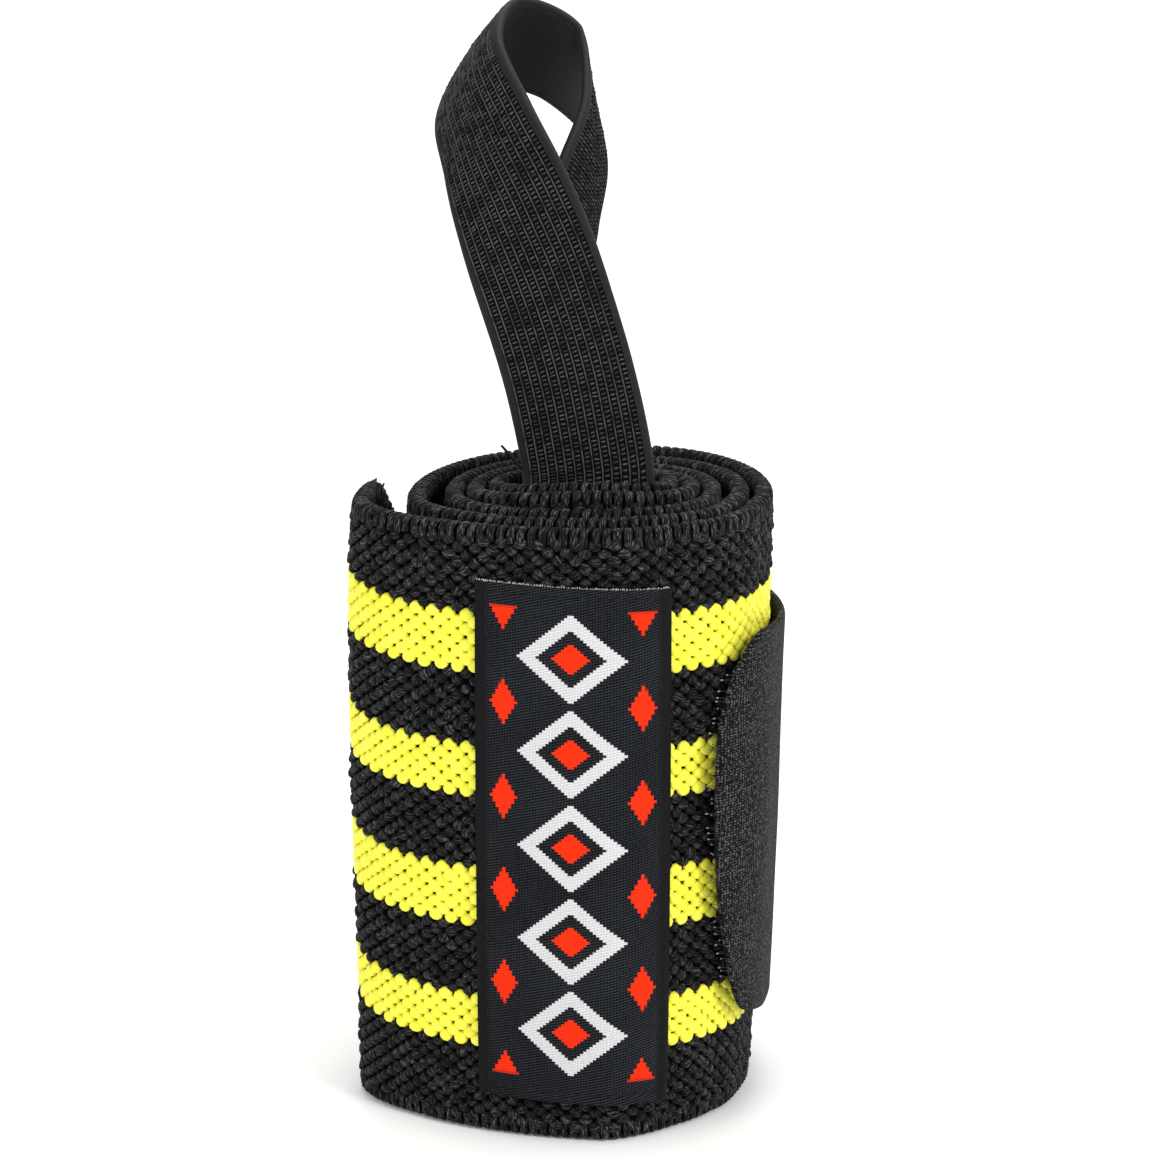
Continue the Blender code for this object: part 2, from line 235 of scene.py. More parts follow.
class Finish:
    """A material in the making, whose node() adds any node and returns an output as a Term."""

    def __init__(self, name, roughness=0.8, sheen=0.0, sheen_roughness=0.5, specular=0.5):
        self.material = bpy.data.materials.new(name)
        self.material.use_nodes = True
        self.tree = self.material.node_tree
        self.shader = self.tree.nodes["Principled BSDF"]
        for socket, value in (("Roughness", roughness), ("Sheen Weight", sheen),
                              ("Sheen Roughness", sheen_roughness), ("Specular IOR Level", specular)):
            self.shader.inputs[socket].default_value = value

    def feed(self, socket, value):
        if isinstance(value, Term):
            self.tree.links.new(value.socket, socket)
        elif value is not None:
            if isinstance(value, tuple) and len(value) == 3 and socket.type == "RGBA":
                value = (*value, 1)
            socket.default_value = value

    def node(self, kind, settings=None, sockets=None, output=0):
        made = self.tree.nodes.new(kind)
        for name, value in (settings or {}).items():
            setattr(made, name, value)
        for place, value in (sockets or {}).items():
            self.feed(made.inputs[place], value)
        return Term(self, made.outputs[output])

    def measure(self, name):
        """A number that the mesh carries under this name."""
        return self.node("ShaderNodeAttribute", {"attribute_name": name}, output=2)

    def blend(self, share, first, second):
        """A colour between two colours."""
        mixed = self.tree.nodes.new("ShaderNodeMix")
        mixed.data_type = "RGBA"
        self.feed(mixed.inputs[0], share)
        self.feed(mixed.inputs[6], first)
        self.feed(mixed.inputs[7], second)
        return Term(self, mixed.outputs[2])

    def position(self):
        return self.node("ShaderNodeTexCoord", output=3)

    def noise(self, scale, detail=2.0, roughness=0.5, where=None):
        return self.node("ShaderNodeTexNoise", None,
                         {"Vector": where or self.position(), "Scale": scale, "Detail": detail,
                          "Roughness": roughness})

    def streaks(self, lengthwise, crosswise):
        """Fibre streaks along each piece of yarn, different from one to the next."""
        place = self.node("ShaderNodeCombineXYZ", None,
                          {0: self.measure("run") * lengthwise, 1: self.measure("beside") * crosswise,
                           2: self.measure("seed") * 60})
        return self.noise(1.0, 2, 0.6, place)

    def bump(self, height, strength, distance):
        raised = self.node("ShaderNodeBump", None,
                           {"Height": height, "Strength": strength, "Distance": distance})
        self.feed(self.shader.inputs["Normal"], raised)

    def colour(self, value):
        self.feed(self.shader.inputs["Base Color"], value)


def soft_band(term, low, high, edge):
    """1 where a term lies between low and high, with soft edges."""
    return term.ramp(low - edge, 2 * edge) * ((high + edge - term) / (2 * edge)).clamped()


def on_stripe(height):
    """True on the band's yellow stripes, for heights in an array."""
    number = np.clip(np.round((height - FIRST_STRIPE) / STRIPE_PITCH), 0, STRIPE_COUNT - 1)
    return np.abs(height - FIRST_STRIPE - number * STRIPE_PITCH) < STRIPE_WIDTH / 2


def knit_black():
    """Black yarn with painted highlights as short streaks along its fibres, and painted shade low on
    each stitch.
    """
    finish = Finish("knit_black", roughness=0.60, sheen=0.02, specular=0.06)
    shade = finish.measure("shade")
    depth = finish.measure("depth")
    streak = finish.streaks(1100, 7400)
    # painted highlight: light streaks on the fibres, stronger high on each stitch
    lit = streak.ramp(0.53, 0.13) * (0.20 + depth * 0.80)
    # painted shade: darker towards each stitch's foot, where the stitches meet
    low = finish.blend(shade * depth, (0.0022, 0.0022, 0.0024), (0.0095, 0.0095, 0.0098))
    finish.colour(finish.blend(lit * (0.35 + shade * 0.65), low, (0.150, 0.148, 0.146)))
    finish.bump(streak, 0.90, 0.00024)
    return finish.material


def knit_yellow():
    finish = Finish("knit_yellow", roughness=0.55, sheen=0.05, specular=0.30)
    shade = finish.measure("shade")
    depth = finish.measure("depth")
    streak = finish.streaks(700, 4200)
    lit = finish.blend(shade * 0.6 + streak * 0.5, (0.80, 0.775, 0.030), (0.94, 0.92, 0.085))
    # painted shade: dark olive in the creases at each stitch's foot
    finish.colour(finish.blend(depth.or_less(0.8) * 1.25, (0.50, 0.43, 0.004), lit))
    finish.bump(streak, 0.45, 0.00018)
    return finish.material


def ground_cloth():
    """The cloth under the stitches: painted near black on its outer face as shade in the gaps between
    them, under the yellow stripes too; plain knit on its inner face.
    """
    finish = Finish("ground_cloth", roughness=0.85, specular=0.0)
    along = finish.measure("along")
    across = finish.measure("across")
    inner = finish.measure("inner")
    first = FIRST_STRIPE - STRIPE_PITCH / 2
    within = abs((across - first) % STRIPE_PITCH - STRIPE_PITCH / 2)
    held = soft_band(across, first, first + STRIPE_COUNT * STRIPE_PITCH, 0.0002)
    columns = along.wave(2 * WALE)
    rows = (across + columns * (COURSE * 0.25)).wave(COURSE)
    knit = abs(columns) * 0.6 + rows * 0.4
    fuzz = finish.noise(4200, 3, 0.6)
    edge = within + (rows + columns) * 0.0003
    # the stripes are painted on the inner face only: the outer face stays near black under them as
    # painted shade in the gaps between stitches
    stripe = ((STRIPE_WIDTH / 2 - edge) / 0.0003).clamped() * held * inner
    face = finish.blend(fuzz * 0.6 + knit * 0.3, (0.004, 0.004, 0.005), (0.026, 0.026, 0.027))
    black = finish.blend(inner, (0.0022, 0.0022, 0.0025), face)
    yellow = finish.blend(knit * 0.8, (0.34, 0.31, 0.004), (0.88, 0.85, 0.02))
    finish.colour(finish.blend(stripe, black, yellow))
    finish.bump(knit + fuzz * 0.5, 0.9, 0.0005)
    return finish.material


def webbing():
    """Ribbed elastic: painted highlight on its ridge lines and bars, painted shade in the near black
    gaps between them.
    """
    finish = Finish("webbing", roughness=0.60, sheen=0.02, specular=0.03)
    fuzz = finish.noise(5200, 3, 0.6)
    patch = finish.noise(620, 2, 0.6)
    relief_light = finish.measure("relief_light")
    broken = ((patch - 0.30) / 0.22).or_more(0.45).or_less(1)
    dark = finish.blend(fuzz, (0.0012, 0.0012, 0.0014), (0.0050, 0.0050, 0.0054))
    light = finish.blend(fuzz, (0.045, 0.045, 0.046), (0.135, 0.133, 0.134))
    # painted light: lighter where the surface is raised, near black in the recesses
    finish.colour(finish.blend((relief_light * broken).or_less(1), dark, light))
    finish.bump(fuzz, 0.5, 0.00018)
    return finish.material


def loop_edges():
    """The webbing's smooth edges, a slightly purple dark grey with a painted highlight towards the
    rounded edges, and its plain inner face.
    """
    finish = Finish("loop_edges", roughness=0.58, sheen=0.03, specular=0.08)
    relief_light = finish.measure("relief_light")
    grain = finish.noise(2400, 4, 0.65)
    low = finish.blend(grain, (0.0040, 0.0040, 0.0044), (0.0100, 0.0098, 0.0105))
    high = finish.blend(grain, (0.020, 0.018, 0.021), (0.056, 0.052, 0.058))
    # painted light: lighter towards the rounded edges, darker on the flat
    finish.colour(finish.blend(relief_light, low, high))
    finish.bump(grain, 0.5, 0.00016)
    return finish.material


def hook_tape():
    """Woven tape: fine light specks between dark gaps, with faint ridges both ways."""
    finish = Finish("hook_tape", roughness=0.75, sheen=0.015, sheen_roughness=0.55, specular=0.04)
    along = finish.measure("along")
    across = finish.measure("across")
    drift = finish.noise(260, 2, 0.5)
    part = finish.noise(110, 2, 0.5)
    ridges = (across + drift * 0.0004).wave(0.00036)
    cords = (along + drift * 0.0004).wave(0.00040)
    threads = ridges * (0.55 + part * 0.6) + cords * (1.15 - part * 0.6)
    speck = finish.node("ShaderNodeTexVoronoi", {"feature": "F1"},
                        {"Vector": finish.position(), "Scale": 3300})
    grain = finish.noise(3200, 2, 0.6)
    height = grain * 1.1 + (1 - speck) * 0.35 + threads * 0.10
    lit = height.ramp(0.73, 0.23)
    finish.colour(finish.blend(lit ** 1.3, (0.0038, 0.0038, 0.0042), (0.104, 0.103, 0.107)))
    finish.bump(height, 0.6, 0.00020)
    return finish.material


def hook_nylon():
    """Grey nylon, with painted shade on the stems and a painted highlight on the hooks' heads."""
    finish = Finish("hook_nylon", roughness=0.4, specular=0.3)
    head_highlight = finish.measure("depth").ramp(0.70, 0.15)
    # painted light: dark stems, light heads
    finish.colour(finish.blend(head_highlight, (0.022, 0.022, 0.023), (0.24, 0.24, 0.245)))
    return finish.material


def plain_thread(name, colour):
    finish = Finish(name, roughness=0.55, sheen=0.02, specular=0.12)
    twist = finish.noise(3000, 2, 0.6)
    darker = tuple(part * 0.45 for part in colour)
    finish.colour(finish.blend(twist, darker, colour))
    finish.bump(twist, 0.5, 0.0002)
    return finish.material


def label_satin():
    """Blue-black satin with painted sheen and a generic woven pattern: a column of lozenges with orange
    hearts.
    """
    finish = Finish("label_satin", roughness=0.45, sheen=0.02, specular=0.04)
    along = finish.measure("along")
    across = finish.measure("across")
    drift = finish.noise(900, 2, 0.6)
    pick = (across * (2 * math.pi / 0.00036) + along * (2 * math.pi / 0.0013) + drift * 2.6).sine()
    end = (along + drift * 0.0002).wave(0.00034)
    fuzz = finish.noise(4200, 3, 0.65)
    # painted sheen: broad lighter patches across the satin
    cloud = finish.noise(70, 2, 0.5)
    thread = pick * (0.10 + cloud * 0.45) + end * 0.15 + fuzz * 0.9
    step = LABEL_HEIGHT / 5.5
    woven_up = across - across % 0.00034
    woven_along = abs(along) - abs(along) % 0.00038
    centre = LABEL_FOOT + LABEL_HEIGHT / 2
    centred = abs((woven_up - (centre - step / 2)) % step - step / 2)
    held = soft_band(woven_up, centre - 2.5 * step, centre + 2.5 * step, 0.0001)
    lozenge_wide, lozenge_tall = 0.0062, 0.0056
    ring = woven_along / lozenge_wide + centred / lozenge_tall
    white = soft_band(ring, 0.64, 1.0, 0.012) * held
    heart = soft_band(ring, -1.0, 0.34, 0.012) * held
    diamond_out, diamond_wide, diamond_tall = 0.0080, 0.0016, 0.0030
    corner = abs(woven_along - diamond_out) / diamond_wide + abs(centred - step / 2) / diamond_tall
    small = soft_band(corner, -1.0, 1.0, 0.03) * held
    border = soft_band(abs(along), LABEL_WIDTH / 2 - 0.00150, LABEL_WIDTH, 0.00012)
    # painted sheen: lighter along the twill's threads, stronger in the patches
    satin = finish.blend(thread.ramp(0.36, 0.42) * (0.30 + cloud * 0.8),
                         (0.0026, 0.0031, 0.0044), (0.037, 0.041, 0.048))
    dull = finish.blend(fuzz, (0.0030, 0.0030, 0.0034), (0.0110, 0.0110, 0.0118))
    ground = finish.blend(border, satin, dull)
    pale = finish.blend(thread * 0.8, (0.44, 0.44, 0.45), (0.74, 0.74, 0.74))
    orange = finish.blend(thread * 0.8, (0.66, 0.020, 0.003), (0.88, 0.036, 0.005))
    motif = finish.blend(white, ground, pale)
    finish.colour(finish.blend((heart + small).or_less(1), motif, orange))
    finish.bump(thread * 0.7 + (white + heart + small) * 0.9, 0.40, 0.00018)
    return finish.material


def rows_at(where, known, rows):
    """Rows of a table at places between the known ones."""
    return np.stack([np.interp(where, known, column) for column in rows.T], -1)


def unit(vectors):
    return vectors / np.linalg.norm(vectors, axis=-1, keepdims=True)


def matched(*values):
    """Numbers or arrays as arrays of one shape."""
    return np.broadcast_arrays(*(np.asarray(value, float) for value in values))


def every_pair(first, second):
    return (grid.ravel() for grid in np.meshgrid(first, second, indexing="ij"))


def near_edge(shares):
    """1 on the two edges of a strip, falling to 0 a little way in."""
    return np.clip(1 - np.minimum(shares, 1 - shares) / 0.014, 0, 1) ** 2


def eased(share):
    """A smooth rise from 0 to 1."""
    share = np.clip(share, 0, 1)
    return share * share * (3 - 2 * share)


def loop_sagitta():
    return LOOP_WIDTH / 2 / LOOP_CUP * (1 - math.cos(LOOP_CUP))


def turn_points():
    """The widest point of each quarter turn on the band's middle line."""
    stack = SEAM_GAP / 2 + LOOP_THICKNESS
    newest = {
        "left": LOOP_WIDTH / 2 + CORE_LEFT_ROOM + BAND_THICKNESS,
        "right": LOOP_WIDTH / 2 + CORE_RIGHT_ROOM + BAND_THICKNESS,
        "front": stack + CORE_FRONT_ROOM + BAND_THICKNESS,
        "back": stack + loop_sagitta() + CORE_BACK_ROOM + BAND_THICKNESS,
    }
    points = []
    for number, (side, slack, along, *_) in enumerate(TURNS):
        if number > 4:
            newest[side] += BAND_THICKNESS + TURN_GAP + slack * LOOSENESS
        if number == len(TURNS) - 1:
            newest[side] += TAB_THICKNESS + SEAM_GAP
        middle = newest[side] - BAND_THICKNESS / 2
        signed = middle if side in ("right", "back") else -middle
        drift = along * WANDER
        points.append((signed, drift) if side in ("left", "right") else (drift, signed))
    return points


def quarter(start, end, side, square, share):
    """A point on the quarter turn that leaves start and ends in end on the given side."""
    angle = share * math.pi / 2
    rising = math.sin(angle) ** (2 / square)
    falling = math.cos(angle) ** (2 / square)
    if side in ("front", "back"):
        return (end[0] + (start[0] - end[0]) * falling, start[1] + (end[1] - start[1]) * rising)
    return (start[0] + (end[0] - start[0]) * rising, end[1] + (start[1] - end[1]) * falling)


def push_clear(line, turns):
    """Moves a later turn outwards where it comes too near to the turn inside it."""
    clearance = BAND_THICKNESS + SEAM_GAP
    for number in range(len(line)):
        inside = line[turns < turns[number] - TURN_INSIDE]
        if len(inside) == 0:
            continue
        offsets = line[number] - inside
        distances = np.hypot(offsets[:, 0], offsets[:, 1])
        nearest = distances.argmin()
        if distances[nearest] < clearance:
            line[number] = inside[nearest] + offsets[nearest] * clearance / distances[nearest]


class Roll:
    """The rolled band's middle line, which places things by length, height and distance."""

    def __init__(self):
        points = turn_points()
        places = []
        turns = []
        last_row = len(TURNS) - 1
        for number in range(1, len(TURNS)):
            side, _, _, square, _, _ = TURNS[number]
            first = HEAD_SHARE if number == 1 else 0
            last = TAIL_SHARE if number == last_row else 1
            for share in np.linspace(first, last, SAMPLES, endpoint=number == last_row):
                places.append(quarter(points[number - 1], points[number], side, square, share))
                turns.append(number - 1 + share)
        places = np.array(places)
        self.turn = np.array(turns)
        for _ in range(6):
            push_clear(places, self.turn)
            softer = places.copy()
            softer[1:-1] = (places[:-2] + 2 * places[1:-1] + places[2:]) / 4
            places = softer
        push_clear(places, self.turn)
        self.middle = places + (CORE_SIDEWAYS, CORE_BACKWARD)
        steps = np.hypot(*np.diff(self.middle, axis=0).T)
        self.length = np.concatenate(([0], np.cumsum(steps)))
        self.full = self.length[-1]
        rows = np.arange(len(TURNS))
        self.lift = TELESCOPE * np.interp(self.turn, rows, [row[4] for row in TURNS])
        self.lean = LEAN * np.interp(self.turn, rows, [row[5] for row in TURNS])
        fine = np.arange(0, self.full, STATION / 4)
        heading = np.gradient(self.seen_from_above(fine), axis=0)
        for _ in range(3):
            heading[1:-1] = (heading[:-2] + 2 * heading[1:-1] + heading[2:]) / 4
        self.fine = fine
        self.outward = unit(np.stack((-heading[:, 1], heading[:, 0]), 1))

    def at_turn(self, turn):
        return float(np.interp(turn, self.turn, self.length))

    def seen_from_above(self, length):
        return rows_at(length, self.length, self.middle)

    def place(self, length, height, outside):
        """Points at these lengths and heights, outside the band's middle."""
        length, height, outside = matched(length, height, outside)
        middle = self.seen_from_above(length)
        outward = unit(rows_at(length, self.fine, self.outward))
        beyond = np.maximum(length - self.full, 0)[..., None] + np.minimum(length, 0)[..., None]
        heading = np.stack((outward[..., 1], -outward[..., 0]), -1)
        lift = np.interp(length, self.length, self.lift)
        lean = np.interp(length, self.length, self.lean)
        turn = np.interp(length, self.length, self.turn)
        turns, bellies, tucks = np.transpose(SHAPES)
        share = np.clip(height / BAND_WIDTH, 0, 1)
        belly = np.interp(turn, turns, bellies, left=0) * (1 - np.abs(2 * share ** 2.2 - 1) ** 3)
        tuck = np.interp(turn, turns, tucks, left=0) * (1 - share) ** 5
        away = outside + belly - tuck - lean * (1 - height / BAND_WIDTH)
        flat = middle + heading * beyond + outward * away[..., None]
        return np.concatenate((flat, (height + lift)[..., None]), -1)


roll = Roll()


def frame_shift():
    """From the roll's own axes to the frame's, by the band's box."""
    low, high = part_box("band")
    faces = np.concatenate([roll.place(roll.length, height, side * BAND_THICKNESS / 2)
                            for height in (0, BAND_WIDTH) for side in (-1, 1)])
    return np.array((low[0] - faces[:, 0].min(), low[1] - faces[:, 1].min(), low[2]))


shift = frame_shift()


def linked(name, data):
    """A new object of the scene that shows this data."""
    made = bpy.data.objects.new(name, data)
    bpy.context.scene.collection.objects.link(made)
    return made


def add_camera():
    view = bpy.data.cameras.new("photo_view")
    view.sensor_width = SENSOR
    view.lens = SENSOR * FOCAL_PIXELS / PHOTO_SIZE
    view.clip_start = 0.01
    view.clip_end = 20
    camera = linked("photo_view", view)
    camera.location = (shift[0], shift[1] - CAMERA_BACK, shift[2] + CAMERA_HEIGHT)
    camera.rotation_euler = Euler((math.pi / 2 - CAMERA_PITCH, 0, 0))
    bpy.context.scene.camera = camera


def mesh_piece(name, points, faces, material, measures=None):
    """Makes a piece of the wrap from points in the roll's own axes."""
    mesh = bpy.data.meshes.new(name)
    moved = np.asarray(points) + shift
    mesh.from_pydata(moved.tolist(), [], [tuple(face) for face in faces])
    mesh.validate()
    mesh.polygons.foreach_set("use_smooth", np.ones(len(mesh.polygons), bool))
    for label, values in (measures or {}).items():
        layer = mesh.attributes.new(label, "FLOAT", "POINT")
        layer.data.foreach_set("value", np.asarray(values, np.float32).ravel())
    mesh.materials.append(material)
    piece = linked(name, mesh)
    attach(piece, "root")
    return piece


def grid_faces(rows, columns):
    """Quads over a grid of rows by columns of points."""
    number = np.arange(rows * columns).reshape(rows, columns)
    quads = np.stack((number[:-1, :-1], number[1:, :-1], number[1:, 1:], number[:-1, 1:]), -1)
    return quads.reshape(-1, 4)


def closed_strip(outer, inner):
    """Points and faces of a strip with two faces and walls round its four sides."""
    rows, columns = outer.shape[:2]
    points = np.concatenate((outer.reshape(-1, 3), inner.reshape(-1, 3)))
    size = rows * columns
    number = np.arange(size).reshape(rows, columns)
    rim = np.concatenate((number[:-1, 0], number[-1, :-1], number[:0:-1, -1], number[0, :0:-1]))
    after = np.roll(rim, -1)
    walls = np.stack((rim, rim + size, after + size, after), -1)
    return points, np.concatenate((grid_faces(rows, columns),
                                   grid_faces(rows, columns)[:, ::-1] + size, walls))


def strip_measures(along, across):
    """Where each point of a closed strip lies along and across its cloth."""
    along, across = np.broadcast_arrays(along, across)
    return {"along": np.tile(along.ravel(), 2), "across": np.tile(across.ravel(), 2)}


def dome(sides, rings):
    """A closed dome of unit radius: points as across, up and out, with its faces."""
    points = []
    for radius, rise in rings:
        for angle in np.arange(sides) * 2 * math.pi / sides:
            points.append((radius * math.cos(angle), radius * math.sin(angle), rise))
    points.append((0, 0, 1))
    faces = []
    for ring in range(len(rings) - 1):
        for side in range(sides):
            after = (side + 1) % sides
            faces.append((ring * sides + side, ring * sides + after,
                          (ring + 1) * sides + after, (ring + 1) * sides + side))
    top = len(points) - 1
    last = (len(rings) - 1) * sides
    caps = [(last + side, last + (side + 1) % sides, top) for side in range(sides)]
    floor = tuple(reversed(range(sides)))
    return np.array(points), faces, caps, floor


def repeated(template, place, count):
    """Points and faces of many copies of a dome; place takes its points and copy numbers."""
    points, quads, caps, floor = template
    size = len(points)
    numbers = np.repeat(np.arange(count), size)
    tiled = np.tile(points, (count, 1))
    faces = []
    for kind in map(np.array, (quads, caps, [floor])):
        copies = kind + (np.arange(count) * size)[:, None, None]
        faces += copies.reshape(-1, kind.shape[1]).tolist()
    return place(tiled, numbers), faces, tiled, numbers


def add_ground(material):
    """The band's cloth under its stitches, one closed strip."""
    lengths = np.linspace(0, roll.full, 700)
    shares = np.array((0, 0.006, 0.014, 0.03, 0.2, 0.4, 0.6, 0.8, 0.97, 0.986, 0.994, 1))
    cut = corner_cut(lengths)
    trim = 0.0005
    heights = trim + cut[:, None] + shares * (BAND_WIDTH - 2 * (cut[:, None] + trim))
    pinch = 1 - 0.45 * near_edge(shares)
    outer = roll.place(lengths[:, None], heights, GROUND_OUT * pinch)
    inner = roll.place(lengths[:, None], heights, -GROUND_IN * pinch)
    points, faces = closed_strip(outer, inner)
    measures = strip_measures(lengths[:, None], heights)
    measures["inner"] = np.repeat((0.0, 1.0), heights.size)
    ground = mesh_piece("band_ground", points, faces, material, measures)
    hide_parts("band")


def corner_cut(length):
    """How much the cut corners take off the band's height at each edge."""
    return CORNER_RISE * np.maximum(0, 1 - (roll.full - length) / CORNER_RUN) ** 1.5


def label_middle():
    on_front = (roll.turn > RIGHT_TURN) & (roll.turn < TAIL_TURN)
    sideways = np.abs(roll.middle[on_front, 0] - CORE_SIDEWAYS + LABEL_OFFSET)
    return roll.length[on_front][sideways.argmin()]


class Tab:
    """Where the hook tab runs: lengths along the band and distances outside its middle."""

    def __init__(self):
        tail = roll.middle[roll.turn > TAIL_TURN]
        seat = (BAND_THICKNESS + TAB_THICKNESS) / 2 + SEAM_GAP
        settle = roll.at_turn(TAB_TURN + 0.9)
        right = roll.at_turn(RIGHT_TURN)
        finish = roll.at_turn(RIGHT_TURN + TAB_REACH)
        lengths = np.arange(roll.at_turn(TAB_TURN), finish, STATION)
        places = roll.seen_from_above(lengths)
        leave = lengths[np.hypot(*(places - tail[-1]).T).argmin()]

        def under_tail(length):
            return np.hypot(*(tail - roll.seen_from_above(length)).T).min() - seat

        at_leave = under_tail(leave)
        lengths = lengths[lengths >= leave - TAB_OVERLAP]
        outside = []
        for length in lengths:
            distance = under_tail(length)
            if length > leave:
                settled = eased((length - leave) / (settle - leave))
                distance = at_leave + (seat - at_leave) * settled
            at_side = eased((length - settle) / (right - settle))
            at_end = max(0, (length - right) / (finish - right))
            outside.append(distance + TAB_STANDOFF * (0.34 * at_side + 0.66 * at_end ** 1.5))
        self.lengths = lengths
        self.outside = np.array(outside)
        self.leave = leave

    def limits(self, length):
        """Heights of the tab's lower and upper edge."""
        distance = self.lengths[-1] - length

        def drop(run, rise):
            inward = np.clip(1 - distance / run, 0, 1)
            return rise * (1 - np.sqrt(1 - inward ** 2))

        slope = 0.0011 * np.clip((distance - 0.008) / 0.008, 0, 1)
        sag = 0.0022 * np.clip((distance - 0.006) / 0.008, 0, 1)
        return TAB_FOOT - sag + drop(TAB_FOOT_RUN, TAB_FOOT_RISE), \
            TAB_FOOT + TAB_WIDTH - slope - drop(TAB_TOP_RUN, TAB_TOP_RISE)

    def place(self, length, height, outside):
        return roll.place(length, height, np.interp(length, self.lengths, self.outside) + outside)


tab = Tab()


def hidden_by_trim(length, height):
    """True where the label or the tab lies over the band's stitches."""
    def within(value, low, high):
        return (value > low) & (value < high)

    label_half = LABEL_WIDTH / 2 - LABEL_COVER
    under_label = (np.abs(length - label_middle()) < label_half) \
        & within(height, LABEL_FOOT + LABEL_COVER, LABEL_TOP - LABEL_COVER)
    under_tab = within(length, tab.lengths[0] + TAB_COVER[0], tab.lengths[-1] - TAB_COVER[1]) \
        & within(height, TAB_FOOT + TAB_COVER[2], TAB_FOOT + TAB_WIDTH - TAB_COVER[3])
    return under_label | under_tab


def knit_lift(length):
    """How far the knit has slid up towards the band's outer end."""
    turn = np.interp(length, roll.length, roll.turn)
    return STRIPE_LIFT * np.clip((turn - TAIL_TURN + 0.6) / 0.6, 0, 1.1) ** 2


def stitch_lattice():
    """Lengths and heights of the stitches that show on the outer faces, and which are yellow."""
    columns = np.arange(0.002, roll.full - 0.0012, WALE)
    rows = np.arange(-2 * COURSE, BAND_WIDTH, COURSE)
    length, height = np.meshgrid(columns, rows, indexing="ij")
    height = height + np.where(np.arange(len(columns)) % 2, COURSE / 2, 0)[:, None]
    length, height = length.ravel(), height.ravel()
    striped = on_stripe(height)
    height = height + knit_lift(length)
    cut = corner_cut(length)
    inside = (height > cut + SELVEDGE * 0.9) & (height < BAND_WIDTH - cut - SELVEDGE * 0.9)
    outermost = length > roll.at_turn(TAB_TURN - 0.35)
    rim_only = height > BAND_WIDTH - RIM_STITCHES
    shown = inside & (outermost | rim_only) & ~hidden_by_trim(length, height)
    return length[shown], height[shown], striped[shown]


def add_stitches(name, material, length, height, template, rise, wide, tall, twist, stray):
    """Puffs of yarn, one for each stitch, staggered as the knit lays them."""
    count = len(length)
    turnabout = chance.normal(0, stray, count)
    wide = WALE * wide * (1 + chance.normal(0, 0.045, count))
    tall = COURSE * tall * (1 + chance.normal(0, 0.05, count))
    rises = rise * (1 + chance.normal(0, stray, count))
    length = length + chance.normal(0, 0.00004, count)
    height = height + chance.normal(0, 0.00004, count)

    def place(points, numbers):
        cosine, sine = np.cos(turnabout[numbers]), np.sin(turnabout[numbers])
        sideways = points[:, 0] * wide[numbers]
        upward = points[:, 1] * tall[numbers]
        outside = GROUND_OUT - PUFF_ROOT + points[:, 2] * rises[numbers] - points[:, 1] * PUFF_TILT
        return roll.place(length[numbers] + sideways * cosine - upward * sine,
                          height[numbers] + sideways * sine + upward * cosine, outside)

    points, faces, local, numbers = repeated(template, place, count)
    fibre = chance.normal(0, twist, count)[numbers]
    sideways = local[:, 0] * WALE
    upward = local[:, 1] * COURSE / 2 + local[:, 2] * 0.0002
    mesh_piece(name, points, faces, material,
               measures={"shade": chance.uniform(0, 1, count)[numbers], "depth": local[:, 2],
                         "run": sideways * np.cos(fibre) + upward * np.sin(fibre),
                         "beside": upward * np.cos(fibre) - sideways * np.sin(fibre),
                         "seed": chance.uniform(0, 1, count)[numbers]})


def add_knit(black, yellow):
    length, height, striped = stitch_lattice()
    full_rings = ((1.0, 0.0), (0.95, 0.44), (0.80, 0.77), (0.48, 0.95))
    plain_rings = ((1.0, 0.0), (0.90, 0.50), (0.58, 0.88))
    add_stitches("yellow_stitches", yellow, length[striped], height[striped], dome(10, full_rings),
                 rise=PUFF_RISE * 1.05, wide=0.91, tall=0.455, twist=0.35, stray=0.09)
    add_stitches("black_stitches", black, length[~striped], height[~striped], dome(8, plain_rings),
                 rise=PUFF_RISE * 1.15, wide=0.82, tall=0.41, twist=0.80, stray=0.13)


